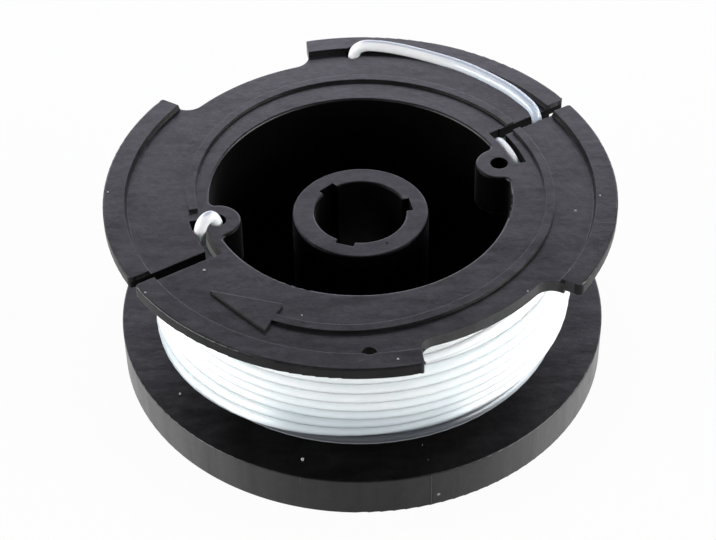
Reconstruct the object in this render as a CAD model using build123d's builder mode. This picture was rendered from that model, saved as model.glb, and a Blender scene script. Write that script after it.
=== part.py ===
from build123d import *
from math import cos, radians, sin, tan
import os

# Trimmer line spool: a moulded spool body and the nylon line wound on it, in millimetres.
# The axis is Z, the lower rim stands on z = 0 and the flange with the slits is on top.
# Angles are in degrees from +X, counted towards +Y.

os.makedirs("parts", exist_ok=True)

# Overall sizes
spool_h = 26.2  # lower rim to the raised band round the upper flange
upper_flange_d = 66.0
lower_flange_d = 64.6

# Upper flange: one wall that steps up to a raised band at its edge
plate_t = 1.65
band_w = 3.0
band_step = 0.65
step_draft = 0.25  # slope of the step, over its height

# Lower flange: a plate with a skirt that the machine drives from below
lower_rim_h = 5.9
lower_plate_t = 1.5
skirt_t = 1.8
lug_count = 8
lug_w = 3.4
lug_depth = 2.6

# Drum and hub
drum_d = 41.4
drum_wall_t = 1.3
hub_d = 17.8
hub_bore_d = 11.8
hub_drop = 4.1  # hub top below the raised band
hub_foot = 1.0  # hub end above the lower rim
keyway_count = 3
keyway_w = 2.4
keyway_depth = 0.85
keyway_angle = 11.5

# Features that stand twice on the upper flange, half a turn apart
twice = 2
slit_angle = 31.5
slit_w = 1.4
slot_clearance = 0.1
slot_angle_from = 13.8
slot_angle_to = 33.6  # just past the slit, which opens into this end
boss_angle = 16.0
boss_d = 6.2
boss_h = 6.0
boss_hole_d = 2.35
boss_blend_r = 0.8  # where the boss runs into the drum's inner wall
boss_inset = 0.45  # boss hole centre inside the drum's inner wall
tail_hole_d = 1.9
tail_hole_angle = 91.4
tail_hole_inset = 0.45  # hole centre inside the band's inner wall
cutout_depth = 4.8
cutout_angle_from = 103.4
cutout_angle_to = 143.2
cutout_flare = 1.4  # how much wider the cut-out is at the edge, at each end
cutout_corner_r = 2.4
end_corner_r = 0.6  # corners of the band at the slits and cut-outs

# Raised arrow for the winding direction: (angle, share of the way from tail to head)
arrow_w = 1.12
arrow_h = 0.35
arrow_growth = 4.2  # radius gained from tail to head
arrow_course = [
    (189, 0),
    (160, 0.19),
    (130, 0.44),
    (95, 0.57),
    (40, 0.61),
    (-15, 0.70),
    (-68, 0.76),
    (-117, 1),
]
arrow_head_angle = -114.5
arrow_tip_angle = -134.8
arrow_head_w = 4.9
arrow_tip_growth = 0.5

# Nylon line and its winding
line_d = 1.6
winding_layers = 5
layer_pitch = 1.37
bare_turns = 2  # turns at the lower flange that the last layer leaves bare
open_pitch = 2  # turns of the full layers to each turn of the last one, which is wound wide
seat_gap = 0.05  # between the line and what it lies on
bend_share = 0.45  # part of the shorter run that each bend of a line end takes up

# Free end: it leaves the winding, climbs through the slit and rises along the band to its hole
leave_angle = 48.0  # in the winding, before the slit
surface_angle = 30.0
surface_lift = 0.35
clear_angle = 13.0
climb_angle = 0.8
tail_rise = 1.4
clip_inset = 1.9  # line in the slit, from the band
# Angle past the slit, share of the way out to the band, share of the rise
tail_course = [(7, 0.2, 0), (14, 0.55, 0), (27, 1, 0), (37, 1, 0.15), (46, 1, 0.6), (53, 1, 0.95)]

# Anchored end: it comes up through the other slot and loops down into the boss hole
anchor_lead = 20.0
anchor_climb = 3.0
loop_h = 1.0  # middle of the line at the top of the loop, over the plate

# Edge rounding
rim_r = 0.25
band_r = 0.25
step_r = 0.2
opening_r = 0.35
hub_r = 0.35

# Places worked out from the sizes
upper_r = upper_flange_d / 2
lower_r = lower_flange_d / 2
drum_r = drum_d / 2
opening_rad = drum_r - drum_wall_t
wall_mid_r = drum_r - drum_wall_t / 2
band_inner_r = upper_r - band_w
skirt_inner_r = lower_r - skirt_t
plate_z = spool_h - band_step
flange_under_z = plate_z - plate_t
band_under_z = spool_h - plate_t
band_under_r = band_inner_r + band_step
recess_z = lower_rim_h - lower_plate_t
hub_top_z = spool_h - hub_drop
slot_w = line_d + slot_clearance
slot_mid_r = drum_r + slot_w / 2
boss_pos_r = opening_rad - boss_inset
tail_hole_r = band_inner_r - tail_hole_inset


def polar(radius, angle, z=0.0):
    return Vector(radius * cos(radians(angle)), radius * sin(radians(angle)), z)


def ring_sector(inner_r, outer_r, angle_from, angle_to, flare=0.0, corner_r=0.0):
    with BuildSketch() as sector:
        with BuildLine():
            inner = CenterArc((0, 0), inner_r, angle_from, angle_to - angle_from)
            outer = CenterArc((0, 0), outer_r, angle_from - flare, angle_to - angle_from + 2 * flare)
            Line(inner @ 0, outer @ 0)
            Line(inner @ 1, outer @ 1)
        make_face()
        if corner_r:
            fillet(sector.vertices().sort_by_distance((0, 0))[:2], corner_r)
    return sector.sketch


slot_shape = ring_sector(drum_r, drum_r + slot_w, slot_angle_from, slot_angle_to)
cutout_shape = ring_sector(
    upper_r - cutout_depth,
    upper_r + cutout_depth,
    cutout_angle_from,
    cutout_angle_to,
    cutout_flare,
    cutout_corner_r,
)

# Plan of the upper flange, with all that is cut through it
with BuildSketch() as flange_plan:
    Circle(upper_r)
    with PolarLocations(0, twice):
        add(cutout_shape, mode=Mode.SUBTRACT)
        add(slot_shape, mode=Mode.SUBTRACT)
    slit_length = upper_r + cutout_depth - slot_mid_r
    with PolarLocations(slot_mid_r + slit_length / 2, twice, slit_angle):
        Rectangle(slit_length, slit_w, mode=Mode.SUBTRACT)
    fillet(flange_plan.vertices().group_by(SortBy.DISTANCE)[-1], end_corner_r)
    with PolarLocations(tail_hole_r, twice, tail_hole_angle):
        Circle(tail_hole_d / 2, mode=Mode.SUBTRACT)

# Spool body, moulded in one piece
with BuildPart() as spool_body:
    # Half section, turned about the axis
    with BuildSketch(Plane.XZ) as half_section:
        with BuildLine():
            Polyline(
                (hub_bore_d / 2, hub_foot),
                (hub_d / 2, hub_foot),
                (hub_d / 2, recess_z),
                (skirt_inner_r, recess_z),
                (skirt_inner_r, 0),
                (lower_r, 0),
                (lower_r, lower_rim_h),
                (drum_r, lower_rim_h),
                (drum_r, flange_under_z),
                (band_under_r, flange_under_z),
                (band_under_r, band_under_z),
                (upper_r, band_under_z),
                (upper_r, spool_h),
                (band_inner_r + step_draft, spool_h),
                (band_inner_r, plate_z),
                (opening_rad, plate_z),
                (opening_rad, lower_rim_h),
                (hub_d / 2, lower_rim_h),
                (hub_d / 2, hub_top_z),
                (hub_bore_d / 2, hub_top_z),
                close=True,
            )
        make_face()
        for radius, z, rounding in (
            (lower_r, 0, rim_r),
            (lower_r, lower_rim_h, rim_r),
            (upper_r, band_under_z, band_r),
            (upper_r, spool_h, band_r),
            (band_inner_r, plate_z, step_r),
            (hub_d / 2, hub_top_z, hub_r),
            (hub_bore_d / 2, hub_top_z, hub_r),
        ):
            fillet(half_section.vertices().sort_by_distance((radius, z))[0], rounding)
    revolve(axis=Axis.Z)

    # Bosses that run into the drum's inner wall, and the rounded edge of the opening with them
    with BuildSketch(Plane.XY.offset(plate_z)) as boss_ring:
        Circle(wall_mid_r)
        Circle(opening_rad, mode=Mode.SUBTRACT)
        with PolarLocations(boss_pos_r, twice, boss_angle):
            Circle(boss_d / 2)
        Circle(wall_mid_r, mode=Mode.INTERSECT)
        fillet(boss_ring.vertices().group_by(SortBy.DISTANCE)[0], boss_blend_r)
    extrude(amount=-boss_h)
    plate_top = spool_body.faces().filter_by(Axis.Z).sort_by(Axis.Z)[-2]
    fillet(plate_top.inner_wires().edges(), opening_r)

    # Arrow: a spiral shaft that starts beside a slot, and its head
    with BuildSketch(Plane.XY.offset(plate_z)):
        head_r = slot_mid_r + arrow_growth
        with BuildLine():
            Spline([polar(slot_mid_r + share * arrow_growth, angle) for angle, share in arrow_course])
        trace(line_width=arrow_w)
        with BuildLine():
            Polyline(
                polar(head_r + arrow_tip_growth, arrow_tip_angle),
                polar(head_r + arrow_head_w / 2, arrow_head_angle),
                polar(head_r - arrow_head_w / 2, arrow_head_angle),
                close=True,
            )
        make_face()
    extrude(amount=arrow_h)

    # All round the plan, through the upper flange
    with BuildSketch(Plane.XY.offset(spool_h)):
        Circle(upper_r + cutout_depth)
        add(flange_plan.sketch, mode=Mode.SUBTRACT)
    extrude(amount=flange_under_z - spool_h, mode=Mode.SUBTRACT)

    # Holes down through the bosses
    with BuildSketch(Plane.XY.offset(plate_z)):
        with PolarLocations(boss_pos_r, twice, boss_angle):
            Circle(boss_hole_d / 2)
    extrude(amount=-boss_h, mode=Mode.SUBTRACT)

    # Keyways along the hub bore
    with BuildSketch(Plane.XY.offset(hub_top_z)):
        with PolarLocations(hub_bore_d / 2, keyway_count, keyway_angle):
            Rectangle(2 * keyway_depth, keyway_w)
    extrude(amount=hub_foot - hub_top_z, mode=Mode.SUBTRACT)

    # Drive lugs round the inside of the skirt
    with BuildSketch(Plane.XY.offset(recess_z)):
        with PolarLocations(skirt_inner_r, lug_count):
            Rectangle(2 * lug_depth, lug_w)
        Circle(skirt_inner_r + skirt_t / 2, mode=Mode.INTERSECT)
    extrude(amount=rim_r - recess_z)

# Winding: the full layers lie turn by turn and the last is wound wide over them, so the outside
# is a row of round ridges, with those of the last layer standing out
line_r = line_d / 2
winding_r = drum_r + seat_gap
first_layer_r = winding_r + line_r
last_layer_r = first_layer_r + (winding_layers - 1) * layer_pitch
winding_z = lower_rim_h + seat_gap
winding_room = flange_under_z - seat_gap - winding_z
turn_count = int(winding_room / line_d)
turn_pitch = winding_room / turn_count

# Courses of the two ends
under_plate_z = flange_under_z - seat_gap - line_r
on_plate_z = plate_z + seat_gap + line_r
beside_band_r = band_inner_r - seat_gap - line_r
clip_r = band_inner_r - clip_inset
free_end_course = [
    polar(last_layer_r - line_d, slit_angle - leave_angle, under_plate_z - seat_gap),
    polar(last_layer_r + surface_lift, slit_angle - surface_angle, under_plate_z),
    polar(clip_r, slit_angle - clear_angle, under_plate_z),
    polar(clip_r, slit_angle - climb_angle, under_plate_z),
    polar(clip_r, slit_angle + climb_angle, on_plate_z),
]
for past_slit, outward, share in tail_course:
    course_r = clip_r + outward * (beside_band_r - clip_r)
    free_end_course.append(polar(course_r, slit_angle + past_slit, on_plate_z + share * tail_rise))
free_end_course.append(polar(tail_hole_r, tail_hole_angle, on_plate_z + tail_rise))
free_end_course.append(polar(tail_hole_r, tail_hole_angle, flange_under_z - line_d))

anchor_angle = boss_angle + 360 / twice
anchored_end_course = [
    polar(first_layer_r + line_r, anchor_angle + anchor_lead, under_plate_z - line_r),
    polar(slot_mid_r, anchor_angle + anchor_climb, under_plate_z - line_r),
    polar(slot_mid_r, anchor_angle + anchor_climb, plate_z + loop_h),
    polar(boss_pos_r, anchor_angle, plate_z + loop_h),
    polar(boss_pos_r, anchor_angle, plate_z - boss_h),
]


def bend_radii(course):
    radii = []
    for before, point, after in zip(course, course[1:], course[2:]):
        run_in = point - before
        run_out = after - point
        shorter_run = min(run_in.length, run_out.length)
        radii.append(bend_share * shorter_run / tan(radians(run_in.get_angle(run_out) / 2)))
    return radii


def line_end(course):
    with BuildPart() as end:
        with BuildLine():
            route = FilletPolyline(course, radius=bend_radii(course))
        with BuildSketch(Plane(route @ 0, z_dir=route % 0)):
            Circle(line_r)
        sweep()
    print("line end", round(route.length, 1), "mm")
    return end.part


free_end = line_end(free_end_course)
anchored_end = line_end(anchored_end_course)


def top_layer(turn):
    past_start = turn - bare_turns
    if past_start < 0 or past_start % open_pitch:
        return winding_layers - 1
    return winding_layers


# Trimmer line: the winding with its two ends
with BuildPart() as trimmer_line:
    with BuildSketch(Plane.XZ):
        with BuildLine():
            inner_low = Vector(winding_r, winding_z)
            last = inner_low
            for turn in range(turn_count):
                ridge_r = first_layer_r + (top_layer(turn) - 1) * layer_pitch
                low = Vector(ridge_r, winding_z + turn * turn_pitch)
                high = low + Vector(0, turn_pitch)
                if low != last:
                    Line(last, low)
                ThreePointArc(low, (low + high) / 2 + Vector(line_r, 0), high)
                last = high
            Polyline(last, (winding_r, last.Y), inner_low)
        make_face()
    revolve(axis=Axis.Z)
    add(free_end)
    add(anchored_end)
    # The slit is narrower than the line and pinches it
    add(spool_body.part, mode=Mode.SUBTRACT)

for piece, name in ((spool_body, "spool_body"), (trimmer_line, "trimmer_line")):
    piece.part.label = name
    export_step(piece.part, f"parts/{name}.step")
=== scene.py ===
import math

import bmesh
import bpy
from mathutils import Matrix, Vector


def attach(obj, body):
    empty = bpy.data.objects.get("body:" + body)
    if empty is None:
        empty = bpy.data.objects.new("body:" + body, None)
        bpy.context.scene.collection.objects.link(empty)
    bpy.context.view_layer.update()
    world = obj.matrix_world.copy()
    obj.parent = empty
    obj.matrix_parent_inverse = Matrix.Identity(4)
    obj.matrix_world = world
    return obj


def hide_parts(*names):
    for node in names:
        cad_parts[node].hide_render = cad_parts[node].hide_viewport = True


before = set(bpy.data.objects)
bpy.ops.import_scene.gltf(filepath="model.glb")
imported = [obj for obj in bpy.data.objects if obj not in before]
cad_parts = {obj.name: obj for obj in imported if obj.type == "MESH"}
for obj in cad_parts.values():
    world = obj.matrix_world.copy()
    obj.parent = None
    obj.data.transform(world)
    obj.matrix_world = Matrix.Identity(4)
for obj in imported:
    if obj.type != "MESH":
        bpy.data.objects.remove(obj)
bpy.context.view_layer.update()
scene = bpy.context.scene
scene.view_settings.view_transform = "Standard"
mm = 0.001

# camera, at the photograph's place
photoCamera = {
    "eye": (-0.00045, -0.19694, 0.19154),
    "tilt": 47.622,    # degrees up from looking straight down
    "roll": -1.005,
    "lens": 100.56,
    "sensor": 36.0,
    "clip": (0.01, 10),
}


def placeCamera(settings):
    data = bpy.data.cameras.new("photoCamera")
    data.lens = settings["lens"]
    data.sensor_width = settings["sensor"]
    data.sensor_fit = "HORIZONTAL"
    data.clip_start, data.clip_end = settings["clip"]
    camera = bpy.data.objects.new("photoCamera", data)
    scene.collection.objects.link(camera)
    tilt = Matrix.Rotation(math.radians(settings["tilt"]), 4, "X")
    roll = Matrix.Rotation(math.radians(settings["roll"]), 4, "Z")
    camera.matrix_world = Matrix.Translation(settings["eye"]) @ tilt @ roll
    scene.camera = camera


placeCamera(photoCamera)
print("camera placed")


def polar(radius, angle, height):
    turn = math.radians(angle)
    return Vector((radius * math.cos(turn), radius * math.sin(turn), height)) * mm


# small helpers for node trees
def addNode(tree, kind, **settings):
    node = tree.nodes.new(kind)
    for name, value in settings.items():
        setattr(node, name, value)
    return node


def plug(tree, socket, value):
    if isinstance(value, bpy.types.NodeSocket):
        tree.links.new(value, socket)
    else:
        socket.default_value = value


def doMath(tree, operation, *values):
    node = addNode(tree, "ShaderNodeMath", operation=operation)
    for socket, value in zip(node.inputs, values):
        plug(tree, socket, value)
    return node.outputs[0]


def above(tree, value, limit):
    return doMath(tree, "GREATER_THAN", value, limit)


def below(tree, value, limit):
    return doMath(tree, "LESS_THAN", value, limit)


def times(tree, first, *others):
    for value in others:
        first = doMath(tree, "MULTIPLY", first, value)
    return first


def either(tree, first, *others):
    for mask in others:
        first = doMath(tree, "MAXIMUM", first, mask)
    return first


def splitAxes(tree, vector):
    node = addNode(tree, "ShaderNodeSeparateXYZ")
    tree.links.new(vector, node.inputs[0])
    return tuple(node.outputs)


def stretched(tree, vector, scale, turn=0.0):
    node = addNode(tree, "ShaderNodeMapping")
    node.inputs["Scale"].default_value = scale
    node.inputs["Rotation"].default_value = (0, 0, math.radians(turn))
    tree.links.new(vector, node.inputs["Vector"])
    return node.outputs[0]


def remap(tree, value, fromLow, fromHigh, toLow=0.0, toHigh=1.0, smooth=False):
    node = addNode(tree, "ShaderNodeMapRange", clamp=True)
    node.interpolation_type = "SMOOTHSTEP" if smooth else "LINEAR"
    for name, number in (("Value", value), ("From Min", fromLow), ("From Max", fromHigh),
                         ("To Min", toLow), ("To Max", toHigh)):
        plug(tree, node.inputs[name], number)
    return node.outputs["Result"]


def noiseAt(tree, vector, scale, detail=2.0, roughness=0.5):
    node = addNode(tree, "ShaderNodeTexNoise")
    plug(tree, node.inputs["Vector"], vector)
    node.inputs["Scale"].default_value = scale
    node.inputs["Detail"].default_value = detail
    node.inputs["Roughness"].default_value = roughness
    return node.outputs["Fac"]


def mixColours(tree, factor, first, second):
    node = addNode(tree, "ShaderNodeMix", data_type="RGBA")
    plug(tree, node.inputs["Factor"], factor)
    for name, colour in (("A", first), ("B", second)):
        plug(tree, node.inputs[name], (*colour, 1) if isinstance(colour, tuple) else colour)
    return node.outputs["Result"]


def newMaterial(name):
    material = bpy.data.materials.new(name)
    material.use_nodes = True
    tree = material.node_tree
    return material, tree, tree.nodes["Principled BSDF"]


# fine dust: sparse pale specks, on the plastic and on the line; the spread, then the least
dustSpecks = {
    "size": (0.06, 0.03),      # as a share of a cell
    "strength": (0.6, 0.4),
}


def makeDustGroup(look):
    tree = bpy.data.node_groups.new("dustSpecks", "ShaderNodeTree")
    tree.interface.new_socket("Vector", in_out="INPUT", socket_type="NodeSocketVector")
    tree.interface.new_socket("Cells", in_out="INPUT", socket_type="NodeSocketFloat")
    tree.interface.new_socket("Share", in_out="INPUT", socket_type="NodeSocketFloat")
    tree.interface.new_socket("Speck", in_out="OUTPUT", socket_type="NodeSocketFloat")
    into = addNode(tree, "NodeGroupInput")
    out = addNode(tree, "NodeGroupOutput")
    cells = addNode(tree, "ShaderNodeTexVoronoi", feature="F1")
    tree.links.new(into.outputs["Vector"], cells.inputs["Vector"])
    tree.links.new(into.outputs["Cells"], cells.inputs["Scale"])
    pick = addNode(tree, "ShaderNodeSeparateColor")
    tree.links.new(cells.outputs["Color"], pick.inputs["Color"])
    chosen = below(tree, pick.outputs[0], into.outputs["Share"])
    size = doMath(tree, "MULTIPLY_ADD", pick.outputs[1], *look["size"])
    near = below(tree, cells.outputs["Distance"], size)
    strength = doMath(tree, "MULTIPLY_ADD", pick.outputs[2], *look["strength"])
    tree.links.new(times(tree, chosen, near, strength), out.inputs["Speck"])
    return tree


dustGroup = makeDustGroup(dustSpecks)


def addDust(tree, place, cells, share):
    dust = addNode(tree, "ShaderNodeGroup", node_tree=dustGroup)
    tree.links.new(place, dust.inputs["Vector"])
    dust.inputs["Cells"].default_value = cells
    dust.inputs["Share"].default_value = share
    return dust.outputs["Speck"]


# black moulded plastic: painted shade in hollows, slits and on the lower flange's top at the front; the
# lower rim dusty, with painted light at its sides and painted shade at its front
plasticLook = {
    "colour": (0.0034, 0.0033, 0.0038),
    "cloudy": (0.0085, 0.0083, 0.0093),
    # near-black painted shade for hollows and for the lower flange's top at the front
    "paintedShade": (0.0012, 0.0012, 0.0012),
    # the lower rim: dust and scuffs, over painted light that lightens its sides and painted shade that
    # darkens its front
    "rim": (0.080, 0.080, 0.080),
    "rimShadedFront": (0.020, 0.020, 0.020),
    "rimSides": (-32.5 * mm, -22 * mm),
    "dust": (0.30, 0.30, 0.31),
    "dustCells": 330,
    "dustShare": 0.018,
    # noises: scale, detail and roughness
    "clouds": (190, 4.0, 0.6),
    "streaks": (150, 5.0, 0.65),
    "scuffs": (420, 4.0, 0.7),
    "fine": (900, 3.0, 0.7),
    "streakStretch": (1, 4.5, 2),
    "streakTurn": 24,
    "streakShare": 0.6,
    "scuffStretch": (1, 1, 0.06),
    # what a noise is turned into: from low and high, to low and high
    "scuffRange": (0.25, 0.75, 0.55, 1.1),
    "fineRange": (0.3, 0.7, 0.84, 1.16),
    "glossRange": (0.36, 0.66, 0.88, 1.12),
    "roughRange": (0.36, 0.66, 0.31, 0.43),
    "cloudyRange": (0.40, 0.66),
    "gloss": 0.5,
    "wallGloss": 0.14,
    "hollowGloss": 0.05,
    "stepGloss": 0.3,          # share that is left on the step below the raised band
    "sheen": 0.10,
    "sheenRoughness": 0.30,
    "softEdge": 0.10 * mm,
    "bumps": [
        # noise scale, detail and roughness, strength, depth: dents, then grain
        (520, 3.0, 0.6, 0.7, 0.05 * mm),
        (3000, 3.0, 0.6, 0.6, 0.02 * mm),
    ],
    "wallFacing": (0.25, 0.75),
    "roundedFacing": (0.70, 0.95),
    "stepFacing": (0.93, 0.995),
    "openingRadius": 19.6 * mm,
    "wellRadius": 19.0 * mm,
    "rimRadius": 32.0 * mm,
    "edgeRadius": 32.8 * mm,
    "bandRadii": (29.9 * mm, 30.75 * mm),
    "rimHeight": 6.0 * mm,
    # the lower flange's top gets painted shade at the front, less towards the right: height, then spans
    "lowTop": 6.2 * mm,
    "lowTopFront": (-12 * mm, -22 * mm),
    "lowTopRight": (7 * mm, 17 * mm),
    "deepBelow": 8 * mm,
    "flangeLow": 23.8 * mm,
    "plateTop": 25.5 * mm,
    "cutoutAngle": 123.3,
    "cutoutReach": 21.0,
    "pit": (7.04, 298.1, 22.1),    # a dark speck on the hub's top: radius, angle and height
    "pitRadius": 0.17 * mm,
}


def makePlastic(look):
    material, tree, surface = newMaterial("blackPlastic")
    coords = addNode(tree, "ShaderNodeTexCoord")
    place = coords.outputs["Object"]
    right, back, height = splitAxes(tree, place)
    up = splitAxes(tree, coords.outputs["Normal"])[2]
    squares = [doMath(tree, "POWER", axis, 2.0) for axis in (right, back)]
    across = doMath(tree, "SQRT", doMath(tree, "ADD", *squares))
    wall = remap(tree, doMath(tree, "ABSOLUTE", up), *look["wallFacing"], 1, 0, smooth=True)

    # the well and the bore, and the walls of slits, slots and holes, which get painted shade and less
    # gloss
    inside = below(tree, across, look["openingRadius"])
    deep = times(tree, inside, below(tree, height, look["deepBelow"]))
    towards = addNode(tree, "ShaderNodeVectorMath", operation="DOT_PRODUCT")
    tree.links.new(place, towards.inputs[0])
    towards.inputs[1].default_value = polar(1 / mm, look["cutoutAngle"], 0)
    along = doMath(tree, "DIVIDE", doMath(tree, "ABSOLUTE", towards.outputs["Value"]), across)
    cutWall = times(tree, above(tree, height, look["flangeLow"]), below(tree, across, look["edgeRadius"]),
                    below(tree, along, math.cos(math.radians(look["cutoutReach"]))))
    walled = times(tree, either(tree, inside, cutWall), wall)
    well = below(tree, across, look["wellRadius"])
    rounded = times(tree, well, remap(tree, up, *look["roundedFacing"], 1, 0, smooth=True))
    gap = addNode(tree, "ShaderNodeVectorMath", operation="DISTANCE")
    tree.links.new(place, gap.inputs[0])
    gap.inputs[1].default_value = polar(*look["pit"])
    pit = below(tree, gap.outputs["Value"], look["pitRadius"])
    hollow = times(tree, either(tree, deep, walled, rounded, pit), below(tree, height, look["plateTop"]))

    # the lower rim, the lower flange's top at the front (which gets painted shade), and the step below the
    # raised band
    rim = times(tree, wall, above(tree, across, look["rimRadius"]))
    lowRim = times(tree, rim, below(tree, height, look["rimHeight"]))
    lowTop = times(tree, below(tree, height, look["lowTop"]), doMath(tree, "SUBTRACT", 1.0, wall),
                   remap(tree, back, *look["lowTopFront"], smooth=True),
                   remap(tree, right, *look["lowTopRight"], 1, 0, smooth=True))
    inBand, outBand = look["bandRadii"]
    step = times(tree, above(tree, across, inBand), below(tree, across, outBand),
                 above(tree, height, look["plateTop"]), remap(tree, up, *look["stepFacing"], 1, 0))

    # tone: cloudy streaks, the scuffed rim with painted light at its sides and painted shade at its front,
    # dust, and painted shade in hollows
    cloud = noiseAt(tree, place, *look["clouds"])
    flow = stretched(tree, place, look["streakStretch"], look["streakTurn"])
    streaks = noiseAt(tree, flow, *look["streaks"])
    share = look["streakShare"]
    blotch = doMath(tree, "MULTIPLY_ADD", streaks, share, doMath(tree, "MULTIPLY", cloud, 1 - share))
    tone = mixColours(tree, remap(tree, blotch, *look["cloudyRange"]), look["colour"], look["cloudy"])
    scuffs = noiseAt(tree, stretched(tree, place, look["scuffStretch"]), *look["scuffs"])
    scuffs = remap(tree, scuffs, *look["scuffRange"])
    # painted light at the rim's sides and painted shade at its front, along with its dust
    rimDustAndShade = mixColours(tree, remap(tree, back, *look["rimSides"]), look["rimShadedFront"], look["rim"])
    tone = mixColours(tree, times(tree, lowRim, scuffs), tone, rimDustAndShade)
    specks = addDust(tree, place, look["dustCells"], look["dustShare"])
    tone = mixColours(tree, specks, tone, look["dust"])
    # painted shade: hollows, and the lower flange's top at the front, take a near-black tone where shade
    # falls
    tone = mixColours(tree, either(tree, hollow, lowTop), tone, look["paintedShade"])
    tree.links.new(tone, surface.inputs["Base Color"])

    # gloss: less on walls and in hollows
    tree.links.new(remap(tree, blotch, *look["roughRange"]), surface.inputs["Roughness"])
    fine = remap(tree, noiseAt(tree, place, *look["fine"]), *look["fineRange"])
    gloss = remap(tree, rim, 0, 1, look["gloss"], look["wallGloss"])
    gloss = times(tree, gloss, remap(tree, blotch, *look["glossRange"]), fine)
    gloss = remap(tree, hollow, 0, 1, gloss, look["hollowGloss"])
    gloss = times(tree, gloss, remap(tree, step, 0, 1, 1.0, look["stepGloss"]))
    tree.links.new(gloss, surface.inputs["Specular IOR Level"])
    surface.inputs["Sheen Weight"].default_value = look["sheen"]
    surface.inputs["Sheen Roughness"].default_value = look["sheenRoughness"]

    # softened edges, shallow dents and a fine grain
    softEdge = addNode(tree, "ShaderNodeBevel", samples=6)
    softEdge.inputs["Radius"].default_value = look["softEdge"]
    normal = softEdge.outputs[0]
    for scale, detail, roughness, strength, depth in look["bumps"]:
        bump = addNode(tree, "ShaderNodeBump")
        bump.inputs["Strength"].default_value = strength
        bump.inputs["Distance"].default_value = depth
        tree.links.new(noiseAt(tree, place, scale, detail, roughness), bump.inputs["Height"])
        tree.links.new(normal, bump.inputs["Normal"])
        normal = bump.outputs["Normal"]
    tree.links.new(normal, surface.inputs["Normal"])
    return material


# milky nylon line: what the winding and the ends have in common
nylon = {
    "clouds": (260, 3.0, 0.55),
    "cloudRange": (0.45, 0.8),
    "dust": (0.45, 0.45, 0.45),
    "dustCells": 420,
    "dustShare": 0.015,
    "dustStrength": 0.5,
    "ior": 1.53,
    "scatter": 0.8,
    "scatterRadius": (0.9, 1.0, 1.0),
}
woundLook = {
    **nylon,
    "name": "woundNylon",
    "colour": (0.87, 0.94, 0.96),
    "shade": (0.82, 0.90, 0.93),
    # painted shade on the lower turns, darkest at the front, and a painted highlight along the lowest
    # turn's lower edge: tone, heights it fades over, and from where to the front
    "dim": [
        ((0.46, 0.51, 0.54), (7.4 * mm, 8.6 * mm), (6 * mm, -8 * mm)),
        ((0.55, 0.61, 0.635), (10.0 * mm, 15.2 * mm), (-23.8 * mm, -26.6 * mm)),
        ((0.085, 0.092, 0.105), (7.9 * mm, 8.6 * mm), (-15 * mm, -24.5 * mm)),
        ((0.40, 0.42, 0.45), (6.45 * mm, 6.8 * mm), (-15 * mm, -24.5 * mm)),
    ],
    "roughness": 0.25,
    "transmission": 0.10,
    "scatterDepth": 0.9 * mm,
}
endLook = {
    **nylon,
    "name": "clearNylon",
    "colour": (0.96, 0.98, 1.0),
    "shade": (0.90, 0.94, 0.98),
    # painted shade: towards the slit the free end turns darker and bluer, as if the dark plastic showed
    # through it; from where it starts
    "clear": (0.60, 0.67, 0.76),
    "clearFrom": (9 * mm, 23 * mm),
    # painted shade on the line's upward-facing side, which gets little light from overhead
    "paintedTopShade": (0.52, 0.57, 0.63),
    "stripeFacing": (0.86, 0.99),
    "dim": [],
    "roughness": 0.14,
    "transmission": 0.14,
    "scatterDepth": 0.8 * mm,
}


def makeNylon(look):
    material, tree, surface = newMaterial(look["name"])
    coords = addNode(tree, "ShaderNodeTexCoord")
    place = coords.outputs["Object"]
    right, back, height = splitAxes(tree, place)
    cloud = remap(tree, noiseAt(tree, place, *look["clouds"]), *look["cloudRange"])
    tone = mixColours(tree, cloud, look["colour"], look["shade"])
    # painted shade along the free end towards the slit, and on its upward-facing side
    if "clear" in look:
        tone = mixColours(tree, remap(tree, right, *look["clearFrom"]), tone, look["clear"])
        up = splitAxes(tree, coords.outputs["Normal"])[2]
        paintedTopShade = remap(tree, up, *look["stripeFacing"], smooth=True)
        tone = mixColours(tree, paintedTopShade, tone, look["paintedTopShade"])
    # painted shade on the lowest turns towards the front, and a painted highlight along the lowest edge
    for paintedTone, heights, front in look["dim"]:
        reach = remap(tree, height, *heights, 1, 0, smooth=True)
        ahead = remap(tree, back, *front, smooth=True)
        tone = mixColours(tree, times(tree, reach, ahead), tone, paintedTone)
    specks = times(tree, addDust(tree, place, look["dustCells"], look["dustShare"]), look["dustStrength"])
    tone = mixColours(tree, specks, tone, look["dust"])
    tree.links.new(tone, surface.inputs["Base Color"])
    surface.inputs["Roughness"].default_value = look["roughness"]
    surface.inputs["Transmission Weight"].default_value = look["transmission"]
    surface.inputs["IOR"].default_value = look["ior"]
    surface.inputs["Subsurface Weight"].default_value = look["scatter"]
    surface.inputs["Subsurface Scale"].default_value = look["scatterDepth"]
    surface.inputs["Subsurface Radius"].default_value = look["scatterRadius"]
    return material


blackPlastic = makePlastic(plasticLook)
woundNylon = makeNylon(woundLook)
clearNylon = makeNylon(endLook)
print("materials made")

# spool body: a welded copy of the solid, shaded smooth between its sharp edges
bodyLook = {
    "node": "spool_body",
    "weld": 0.002 * mm,
    "flatAngle": 0.2,      # faces that meet at less than this are one flat patch
    "sharpAngle": 50,
}


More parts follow.
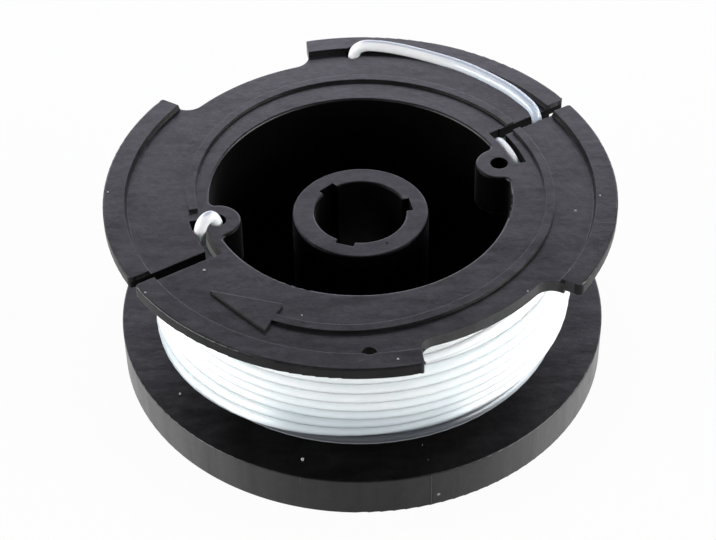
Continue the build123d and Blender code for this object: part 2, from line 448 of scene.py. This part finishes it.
# each corner's normal leans to the widest flat patch around it
# so flats stay flat and small roundings look round
def evenNormals(mesh, look):
    shape = bmesh.new()
    shape.from_mesh(mesh)
    shape.faces.ensure_lookup_table()
    flat = math.radians(look["flatAngle"])
    sharp = math.radians(look["sharpAngle"])
    patchOf = [-1] * len(shape.faces)
    areas = []
    for first in shape.faces:
        if patchOf[first.index] >= 0:
            continue
        patch = len(areas)
        areas.append(0.0)
        patchOf[first.index] = patch
        waiting = [first]
        while waiting:
            face = waiting.pop()
            areas[patch] += face.calc_area()
            for edge in face.edges:
                for other in edge.link_faces:
                    if patchOf[other.index] < 0 and first.normal.angle(other.normal, 0) < flat:
                        patchOf[other.index] = patch
                        waiting.append(other)
    normals = []
    for face in shape.faces:
        for corner in face.loops:
            around = {face}
            waiting = [face]
            while waiting:
                here = waiting.pop()
                for edge in here.edges:
                    shared = corner.vert in edge.verts and len(edge.link_faces) == 2
                    if shared and edge.calc_face_angle(0) < sharp:
                        new = set(edge.link_faces) - around
                        around |= new
                        waiting.extend(new)
            total = Vector((0, 0, 0))
            for patch in {patchOf[other.index] for other in around}:
                ofPatch = (other.normal for other in around if patchOf[other.index] == patch)
                lean = sum(ofPatch, Vector((0, 0, 0)))
                total += lean.normalized() * areas[patch] ** 2
            normals.append(total.normalized())
    shape.free()
    mesh.normals_split_custom_set(normals)


def dressBody(look):
    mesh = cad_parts[look["node"]].data.copy()
    mesh.name = "spoolBody"
    shape = bmesh.new()
    shape.from_mesh(mesh)
    bmesh.ops.remove_doubles(shape, verts=shape.verts, dist=look["weld"])
    shape.to_mesh(mesh)
    shape.free()
    mesh.shade_smooth()
    mesh.set_sharp_from_angle(angle=math.radians(look["sharpAngle"]))
    mesh.materials.clear()
    mesh.materials.append(blackPlastic)
    body = bpy.data.objects.new("spoolBody", mesh)
    scene.collection.objects.link(body)
    evenNormals(mesh, look)
    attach(body, "root")
    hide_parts(look["node"])
    return body


spoolBody = dressBody(bodyLook)
print("spool body dressed,", len(spoolBody.data.polygons), "faces")

# line on the drum: three full layers turn by turn, an open one, then a close last one over them
winding = {
    "lineRadius": 0.8,
    # degrees along the winding, radius and height in mm; 270 is the last layer's first pass of the front
    "course": [
        (-14098, 21.55, 6.76),
        (-10498, 21.55, 23.03),
        (-10282, 22.92, 23.03),
        (-6682, 22.92, 6.76),
        (-6466, 24.29, 6.76),
        (-2866, 24.29, 23.03),
        (-2650, 25.66, 23.03),
        (-1570, 25.66, 18.15),
        (-850, 25.60, 10.0),
        (-130, 25.70, 6.76),
        (110, 25.70, 6.76),
        (190, 27.00, 6.9),
        (215, 27.03, 7.4),
        (253, 27.03, 9.4),
        (290, 26.95, 10.3),
        (575, 27.00, 9.9),
        (613, 27.03, 10.9),
        (680, 27.03, 11.9),
        (935, 27.03, 12.3),
        (990, 27.03, 12.65),
        (1350, 27.03, 14.05),
        (1710, 26.95, 15.45),
        (2070, 26.75, 16.85),
        (2430, 26.45, 18.25),
        (2790, 26.10, 19.75),
        (2863.5, 26.2, 21.9),
    ],
    "step": 5,             # degrees between points
    "evenOut": 5,          # points on each side over which bends in the course are evened out
    "sides": 14,
    "sway": 0.05,
}


def windTurns(look):
    course = look["course"]
    first, last = course[0][0], course[-1][0]
    count = round((last - first) / look["step"])
    rough = []
    leg = 0
    for index in range(count + 1):
        angle = first + (last - first) * index / count
        while leg < len(course) - 2 and angle > course[leg + 1][0]:
            leg += 1
        start, end = course[leg], course[leg + 1]
        share = (angle - start[0]) / (end[0] - start[0])
        rough.append((angle, *(low + (high - low) * share for low, high in zip(start[1:], end[1:]))))
    places = []
    length = 0.0
    for index, (angle, _, _) in enumerate(rough):
        reach = min(look["evenOut"], index, count - index)
        near = rough[index - reach:index + reach + 1]
        sway = look["sway"] * math.sin(angle / 71) * math.cos(angle / 26)
        radius = sum(point[1] for point in near) / len(near) + sway
        height = sum(point[2] for point in near) / len(near) + sway
        places.append(polar(radius, angle, height))
        if index:
            length += (places[-1] - places[-2]).length
    print("winding", round((last - first) / 360, 1), "turns,", round(length, 2), "m of line")
    return places


def makeTubeTree():
    tree = bpy.data.node_groups.new("lineTube", "GeometryNodeTree")
    tree.interface.new_socket("Geometry", in_out="OUTPUT", socket_type="NodeSocketGeometry")
    for name, kind in (("Geometry", "NodeSocketGeometry"), ("Line Radius", "NodeSocketFloat"),
                       ("Sides", "NodeSocketInt"), ("Material", "NodeSocketMaterial")):
        tree.interface.new_socket(name, in_out="INPUT", socket_type=kind)
    size = addNode(tree, "NodeGroupInput").outputs
    path = addNode(tree, "GeometryNodeMeshToCurve")
    ring = addNode(tree, "GeometryNodeCurvePrimitiveCircle")
    tube = addNode(tree, "GeometryNodeCurveToMesh")
    real = addNode(tree, "GeometryNodeRealizeInstances")
    paint = addNode(tree, "GeometryNodeSetMaterial")
    out = addNode(tree, "NodeGroupOutput")
    tree.links.new(size["Geometry"], path.inputs[0])
    tree.links.new(size["Sides"], ring.inputs["Resolution"])
    tree.links.new(size["Line Radius"], ring.inputs["Radius"])
    tree.links.new(path.outputs[0], tube.inputs["Curve"])
    tree.links.new(ring.outputs[0], tube.inputs["Profile Curve"])
    tube.inputs["Fill Caps"].default_value = True
    tree.links.new(tube.outputs[0], real.inputs[0])
    tree.links.new(real.outputs[0], paint.inputs["Geometry"])
    tree.links.new(size["Material"], paint.inputs["Material"])
    tree.links.new(paint.outputs[0], out.inputs[0])
    return tree


def bakeTree(name, mesh, tree, values):
    piece = bpy.data.objects.new(name, mesh)
    scene.collection.objects.link(piece)
    modifier = piece.modifiers.new(name, "NODES")
    modifier.node_group = tree
    for item in tree.interface.items_tree:
        if item.in_out == "INPUT" and item.name in values:
            modifier[item.identifier] = values[item.name]
    piece.update_tag()
    bpy.context.view_layer.update()
    done = bpy.data.meshes.new_from_object(piece.evaluated_get(bpy.context.evaluated_depsgraph_get()))
    done.name = name
    piece.modifiers.clear()
    piece.data = done
    done.shade_smooth()
    return piece


def windLine(look):
    places = windTurns(look)
    path = bpy.data.meshes.new("windingPath")
    path.from_pydata(places, [(n, n + 1) for n in range(len(places) - 1)], [])
    sizes = {"Line Radius": look["lineRadius"] * mm, "Sides": look["sides"], "Material": woundNylon}
    wound = bakeTree("woundTurns", path, makeTubeTree(), sizes)
    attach(wound, "root")
    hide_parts("trimmer_line")
    wound.visible_glossy = False    # its mirror image would whiten the black flange below it
    return wound


print("line wound,", len(windLine(winding).data.polygons), "faces")

# the two ends: radius in mm, angle in degrees, height in mm, thickness
freeEnd = {
    "name": "freeEnd",
    "route": [
        (26.27, -22.0, 21.75, 1.0),
        (26.4, -8.0, 22.3, 1.0),
        (26.9, 7.0, 22.8, 1.0),
        (28.0, 20.0, 23.0, 1.0),
        (28.1, 30.7, 23.0, 0.87),
        (28.1, 32.3, 26.4, 0.87),
        (28.35, 38.5, 26.4, 1.0),
        (28.7, 45.5, 26.4, 1.0),
        (29.15, 58.5, 26.4, 1.0),
        (29.15, 68.5, 26.6, 1.0),
        (29.15, 77.5, 27.1, 1.0),
        (29.2, 84.0, 27.4, 1.0),
        (29.4, 88.8, 27.3, 1.0),
        (29.55, 91.4, 25.8, 1.0),
        (29.55, 91.4, 22.3, 1.0),
    ],
}
anchoredEnd = {
    "name": "anchoredEnd",
    "route": [
        (22.6, 213.0, 20.0, 1.0),
        (21.6, 199.2, 20.4, 1.0),
        (21.6, 199.0, 26.75, 1.0),
        (18.65, 195.6, 26.75, 1.0),
        (18.65, 195.6, 19.8, 1.0),
    ],
}

# the first turn, which shows in the slot under the free end's slit
slotStrand = {
    "name": "slotStrand",
    "route": [
        (21.55, 12.0, 21.9, 0.9),
        (21.45, 14.9, 22.6, 0.9),
        (21.33, 16.2, 24.8, 0.78),
        (21.35, 23.5, 25.0, 0.78),
        (21.45, 31.0, 24.8, 0.85),
        (21.55, 32.4, 22.6, 0.9),
        (21.55, 36.0, 21.9, 0.9),
    ],
}
endShape = {
    "roundness": 5,
    "steps": 14,
    "order": 3,
}


def layEnd(end, thickness, material):
    curve = bpy.data.curves.new(end["name"], "CURVE")
    curve.dimensions = "3D"
    curve.bevel_depth = thickness
    curve.bevel_resolution = endShape["roundness"]
    curve.use_fill_caps = True
    curve.resolution_u = endShape["steps"]
    spline = curve.splines.new("NURBS")
    spline.points.add(len(end["route"]) - 1)
    for point, (radius, angle, height, share) in zip(spline.points, end["route"]):
        point.co = (*polar(radius, angle, height), 1)
        point.radius = share
    spline.order_u = endShape["order"]
    spline.use_endpoint_u = True
    draft = bpy.data.objects.new(end["name"] + "Draft", curve)
    scene.collection.objects.link(draft)
    bpy.context.view_layer.update()
    mesh = bpy.data.meshes.new_from_object(draft.evaluated_get(bpy.context.evaluated_depsgraph_get()))
    bpy.data.objects.remove(draft)
    mesh.name = end["name"]
    mesh.shade_smooth()
    mesh.materials.clear()
    mesh.materials.append(material)
    piece = bpy.data.objects.new(end["name"], mesh)
    scene.collection.objects.link(piece)
    piece.visible_glossy = False
    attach(piece, "root")
    return piece


for end, material in ((freeEnd, clearNylon), (anchoredEnd, clearNylon), (slotStrand, woundNylon)):
    piece = layEnd(end, winding["lineRadius"] * mm, material)
    print(end["name"], "laid,", len(piece.data.polygons), "faces")


# a dull finish, a little darker in places
def makeDull(look):
    material, tree, surface = newMaterial(look["finish"])
    place = addNode(tree, "ShaderNodeTexCoord").outputs["Object"]
    darker = tuple(look["darkest"] * share for share in look["colour"])
    tone = mixColours(tree, noiseAt(tree, place, look["mottle"]), look["colour"], darker)
    tree.links.new(tone, surface.inputs["Base Color"])
    surface.inputs["Roughness"].default_value = look["roughness"]
    return material


# thin parting ridges on the lower rim: angle in degrees, then lowest and highest point in mm
ridges = {
    "places": [(284.75, 0.25, 5.65), (255.5, 4.7, 5.65)],
    "wall": 32.25,
    "top": 32.34,
    "halfWidth": 0.12,     # degrees
    "finish": "wornRidge",
    "colour": (0.075, 0.075, 0.077),
    "darkest": 0.5,
    "mottle": 900,
    "roughness": 0.6,
}


def raiseRidges(look):
    corners = []
    faces = []
    for angle, low, high in look["places"]:
        first = len(corners)
        for height in (low, high):
            for radius, turn in ((look["wall"], -1), (look["top"], 0), (look["wall"], 1)):
                corners.append(polar(radius, angle + turn * look["halfWidth"], height))
        sides = ((0, 1, 4, 3), (1, 2, 5, 4), (2, 0, 3, 5), (0, 2, 1), (3, 4, 5))
        faces.extend(tuple(first + corner for corner in side) for side in sides)
    mesh = bpy.data.meshes.new("partingRidges")
    mesh.from_pydata(corners, [], faces)
    mesh.materials.append(makeDull(look))
    piece = bpy.data.objects.new("partingRidges", mesh)
    scene.collection.objects.link(piece)
    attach(piece, "root")
    return piece


print("ridges raised,", len(raiseRidges(ridges).data.polygons), "faces")

# a few grains of dust that show, and burrs at a cut-out's corner: radius, angle, height and size
burrs = {
    "name": "burrs",
    "places": [
        (31.05, 283.45, 24.5, 0.22),
        (29.9, 283.9, 25.46, 0.11),
        (29.1, 285.3, 25.46, 0.09),
        (28.5, 286.3, 25.46, 0.10),
    ],
}
grains = {
    "name": "dustGrains",
    "places": [
        (32.47, 216.0, 26.2, 0.16),
        (31.51, 277.4, 26.2, 0.14),
        (32.43, 180.2, 26.2, 0.12),
        (30.72, 355.3, 26.2, 0.12),
        (24.22, 217.0, 25.55, 0.17),
        (24.69, 21.5, 25.55, 0.13),
        (27.93, 316.1, 25.55, 0.12),
        (24.12, 252.3, 25.55, 0.10),
        (28.96, 215.2, 5.9, 0.15),
        (29.50, 254.6, 5.9, 0.20),
        (27.26, 285.4, 5.9, 0.05),
        (29.89, 285.3, 5.9, 0.04),
    ],
    "finish": "dustGrain",
    "colour": (0.42, 0.42, 0.43),
    "darkest": 0.6,
    "mottle": 5000,
    "roughness": 0.9,
}
grainShape = {
    "size": 1 * mm,            # times each grain's own size
    "subdivisions": 2,
    "lumps": 9000,
    "lumpDepth": 0.6,          # as a share of the size
    "spin": (6.3, 6.3, 6.3),
}


def makeGrainTree(look):
    tree = bpy.data.node_groups.new("grains", "GeometryNodeTree")
    tree.interface.new_socket("Geometry", in_out="OUTPUT", socket_type="NodeSocketGeometry")
    for name, kind in (("Geometry", "NodeSocketGeometry"), ("Size", "NodeSocketFloat"),
                       ("Material", "NodeSocketMaterial")):
        tree.interface.new_socket(name, in_out="INPUT", socket_type=kind)
    given = addNode(tree, "NodeGroupInput").outputs
    grain = addNode(tree, "GeometryNodeMeshIcoSphere")
    grain.inputs["Subdivisions"].default_value = look["subdivisions"]
    uneven = addNode(tree, "GeometryNodeSetPosition")
    offset = addNode(tree, "ShaderNodeTexNoise", noise_dimensions="3D")
    offset.inputs["Scale"].default_value = look["lumps"]
    onPoints = addNode(tree, "GeometryNodeInstanceOnPoints")
    spin = addNode(tree, "FunctionNodeRandomValue", data_type="FLOAT_VECTOR")
    spin.inputs[1].default_value = look["spin"]
    size = addNode(tree, "GeometryNodeInputNamedAttribute", data_type="FLOAT")
    size.inputs["Name"].default_value = "grainSize"
    real = addNode(tree, "GeometryNodeRealizeInstances")
    paint = addNode(tree, "GeometryNodeSetMaterial")
    out = addNode(tree, "NodeGroupOutput")
    shift = addNode(tree, "ShaderNodeVectorMath", operation="SCALE")
    tree.links.new(given["Size"], grain.inputs["Radius"])
    tree.links.new(grain.outputs["Mesh"], uneven.inputs["Geometry"])
    tree.links.new(offset.outputs["Color"], shift.inputs[0])
    tree.links.new(times(tree, given["Size"], look["lumpDepth"]), shift.inputs["Scale"])
    tree.links.new(shift.outputs[0], uneven.inputs["Offset"])
    tree.links.new(given["Geometry"], onPoints.inputs["Points"])
    tree.links.new(uneven.outputs[0], onPoints.inputs["Instance"])
    tree.links.new(spin.outputs[0], onPoints.inputs["Rotation"])
    tree.links.new(size.outputs[0], onPoints.inputs["Scale"])
    tree.links.new(onPoints.outputs[0], real.inputs[0])
    tree.links.new(real.outputs[0], paint.inputs["Geometry"])
    tree.links.new(given["Material"], paint.inputs["Material"])
    tree.links.new(paint.outputs[0], out.inputs[0])
    return tree


def scatterGrains(look, tree, material):
    points = bpy.data.meshes.new("grainPlaces")
    points.from_pydata([polar(*spot[:3]) for spot in look["places"]], [], [])
    sizes = points.attributes.new("grainSize", "FLOAT", "POINT")
    sizes.data.foreach_set("value", [spot[3] for spot in look["places"]])
    grain = bakeTree(look["name"], points, tree, {"Size": grainShape["size"], "Material": material})
    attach(grain, "root")
    return grain


grainTree = makeGrainTree(grainShape)
for look, material in ((grains, makeDull(grains)), (burrs, blackPlastic)):
    piece = scatterGrains(look, grainTree, material)
    print(look["name"], "laid,", len(piece.data.polygons), "faces")

# pale floor and soft white surroundings: two soft lamps at the sides and one behind
studio = {
    "floorSize": 3.0,
    "floorColour": (0.72, 0.72, 0.72),
    "floorGlow": 0.95,
    "floorRoughness": 0.9,
    "floorGloss": 0.1,
    "skyLow": 0.80,        # near the horizon
    "skyHigh": 0.14,       # overhead
    "skyFront": 0.25,      # share of that light on the camera's side
    "skyTint": (0.86, 0.83, 1.0),
    "skyRise": (0.15, 0.70),   # heights on the sky between near and overhead
    "skyTurn": (-0.75, 0.05),  # from the camera's side to the back
    "lamps": [
        # name, place, width, height, watts, colour
        ("leftLamp", (-0.45, -0.10, 0.13), 0.42, 0.26, 3.3, (1.0, 1.0, 1.0)),
        ("rightLamp", (0.45, -0.10, 0.13), 0.42, 0.26, 3.4, (1.0, 1.0, 1.0)),
        ("backLamp", (0.0, 0.66, 0.30), 1.20, 0.26, 4.2, (0.87, 0.84, 1.0)),
    ],
    "lampAim": (0, 0, 0.015),
}


def seenDirectly(tree):
    rays = addNode(tree, "ShaderNodeLightPath")
    return either(tree, rays.outputs["Is Camera Ray"], rays.outputs["Is Glossy Ray"],
                  rays.outputs["Is Transmission Ray"])


def buildStudio(settings):
    half = settings["floorSize"] / 2
    mesh = bpy.data.meshes.new("floor")
    corners = [(-half, -half, 0), (half, -half, 0), (half, half, 0), (-half, half, 0)]
    mesh.from_pydata(corners, [], [(0, 1, 2, 3)])
    floor = bpy.data.objects.new("floor", mesh)
    scene.collection.objects.link(floor)
    material, tree, surface = newMaterial("paleFloor")
    surface.inputs["Base Color"].default_value = (*settings["floorColour"], 1)
    surface.inputs["Roughness"].default_value = settings["floorRoughness"]
    surface.inputs["Specular IOR Level"].default_value = settings["floorGloss"]
    glow = addNode(tree, "ShaderNodeEmission")
    blend = addNode(tree, "ShaderNodeMixShader")
    plug(tree, blend.inputs[0], doMath(tree, "MULTIPLY", seenDirectly(tree), settings["floorGlow"]))
    tree.links.new(surface.outputs[0], blend.inputs[1])
    tree.links.new(glow.outputs[0], blend.inputs[2])
    tree.links.new(blend.outputs[0], tree.nodes["Material Output"].inputs["Surface"])
    mesh.materials.append(material)

    world = bpy.data.worlds.new("whiteRoom")
    world.use_nodes = True
    scene.world = world
    tree = world.node_tree
    sky = tree.nodes["Background"]
    _, back, up = splitAxes(tree, addNode(tree, "ShaderNodeTexCoord").outputs["Generated"])
    overhead = remap(tree, up, *settings["skyRise"], smooth=True)
    tint = mixColours(tree, overhead, (1.0, 1.0, 1.0), settings["skyTint"])
    tree.links.new(tint, sky.inputs["Color"])
    level = remap(tree, overhead, 0, 1, settings["skyLow"], settings["skyHigh"])
    front = remap(tree, back, *settings["skyTurn"], settings["skyFront"], 1.0, smooth=True)
    tree.links.new(times(tree, level, front), sky.inputs["Strength"])

    for name, place, width, height, watts, colour in settings["lamps"]:
        data = bpy.data.lights.new(name, "AREA")
        data.shape = "RECTANGLE"
        data.size = width
        data.size_y = height
        data.energy = watts
        data.color = colour
        lamp = bpy.data.objects.new(name, data)
        scene.collection.objects.link(lamp)
        lamp.location = place
        towards = Vector(settings["lampAim"]) - Vector(place)
        lamp.rotation_euler = towards.to_track_quat("-Z", "Y").to_euler()


buildStudio(studio)
print("studio built")
